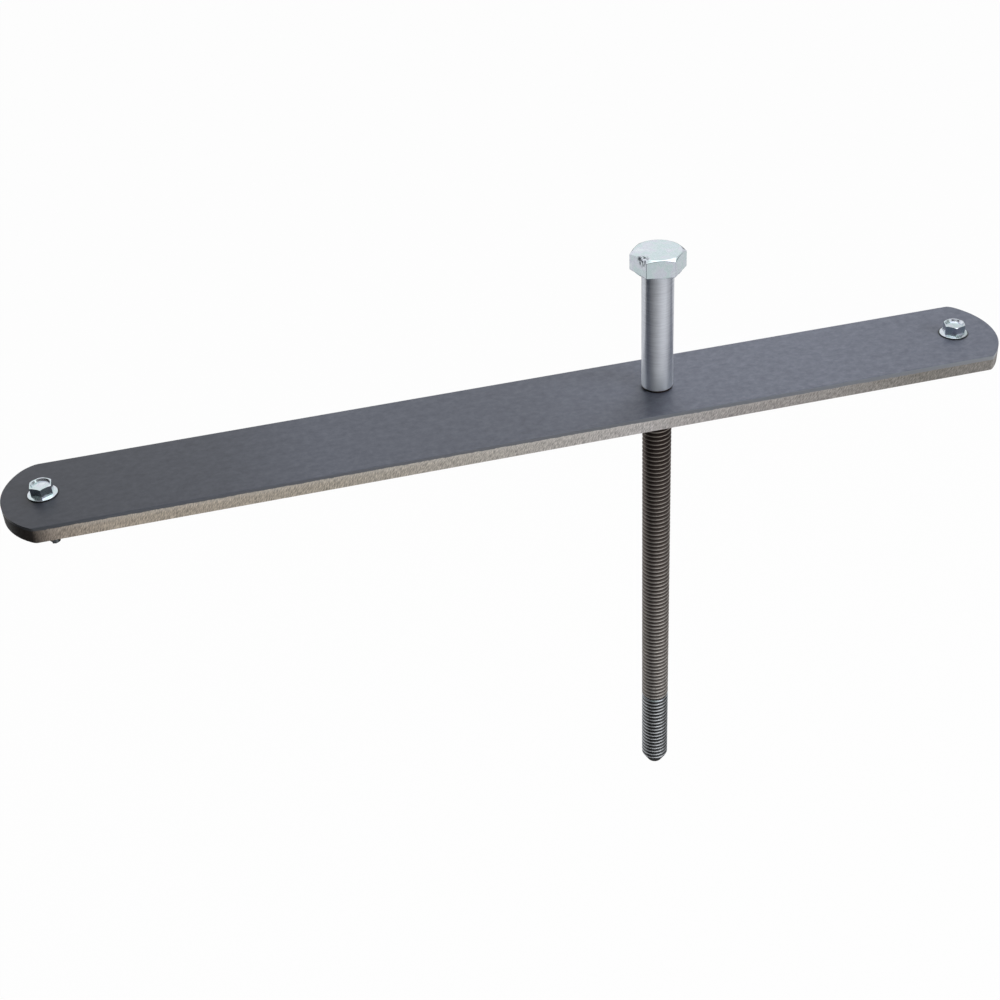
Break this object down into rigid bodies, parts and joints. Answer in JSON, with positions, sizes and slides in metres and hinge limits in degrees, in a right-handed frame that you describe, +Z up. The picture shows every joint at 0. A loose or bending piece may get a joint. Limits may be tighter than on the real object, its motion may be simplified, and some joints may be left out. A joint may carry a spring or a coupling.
{
  "type": "metal deck insert",
  "caption": "Flat steel bar with round-nosed ends, a long hex bolt screwed through it off centre, and a self-drilling screw at each end, for hanging loads below a ribbed deck slab.",
  "frame": {"origin": "middle of the bar's underside, the face that lies on the deck", "axes": "+X along the bar towards the bolt, +Y across the bar, +Z up from the deck towards the bolt's head"},
  "size_m": [0.3996, 0.0444, 0.2617],
  "materials": {
    "mill_scale_steel": "matt, dark mill scale with pale sheared edges",
    "zinc_plated_steel": "bright zinc plate, duller in the threads"
  },
  "bodies": {
    "root": {"bar": "mill_scale_steel", "hanger_bolt": "zinc_plated_steel", "deck_screw_left": "zinc_plated_steel", "deck_screw_right": "zinc_plated_steel"}
  },
  "joints": []
}
